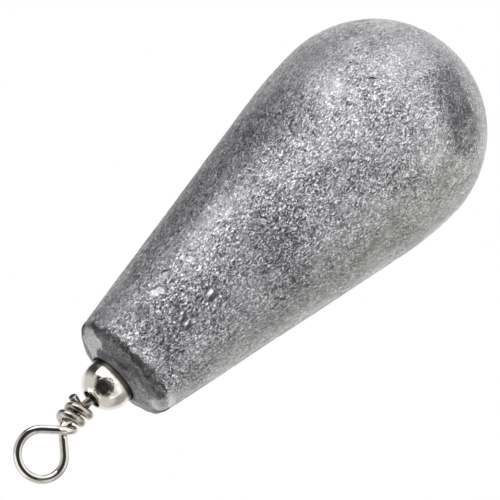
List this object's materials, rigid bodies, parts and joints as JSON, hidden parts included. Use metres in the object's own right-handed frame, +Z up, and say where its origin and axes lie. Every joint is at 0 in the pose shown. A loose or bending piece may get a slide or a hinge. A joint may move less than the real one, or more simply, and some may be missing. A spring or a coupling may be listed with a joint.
{
  "type": "fishing sinker",
  "caption": "Pear-shaped cast lead fishing weight with a barrel swivel cast into its narrow end; the plated wire eye ties to the line and spins freely.",
  "frame": {"origin": "on the axis that the swivel spins about, at the height of the line eye's centre, where the line pulls", "axes": "+Z up along the long axis, from the lead to the line eye, as it hangs; +X across, in the plane of the line eye and of the mould's seam; +Y along the eye's hole, away from the side that the tail crosses on"},
  "size_m": [0.0206, 0.0204, 0.0559],
  "materials": {
    "cast_lead": "bare cast lead, fine crystalline grain under a thin grey oxide",
    "plated_barrel": "bright nickel plate on drawn brass",
    "plated_wire": "bright nickel plate on brass wire, duller on the wraps"
  },
  "bodies": {
    "eye": {"line_eye": "plated_wire"},
    "weight": {"lead_weight": "cast_lead", "swivel_barrel": "plated_barrel", "anchor_eye": "plated_wire"}
  },
  "joints": [
    {"name": "swivel_spin", "type": "hinge", "parent": "eye", "child": "weight", "pos_m": [0, 0, -0.0075], "axis": [0, 0, 1], "continuous": true}
  ]
}
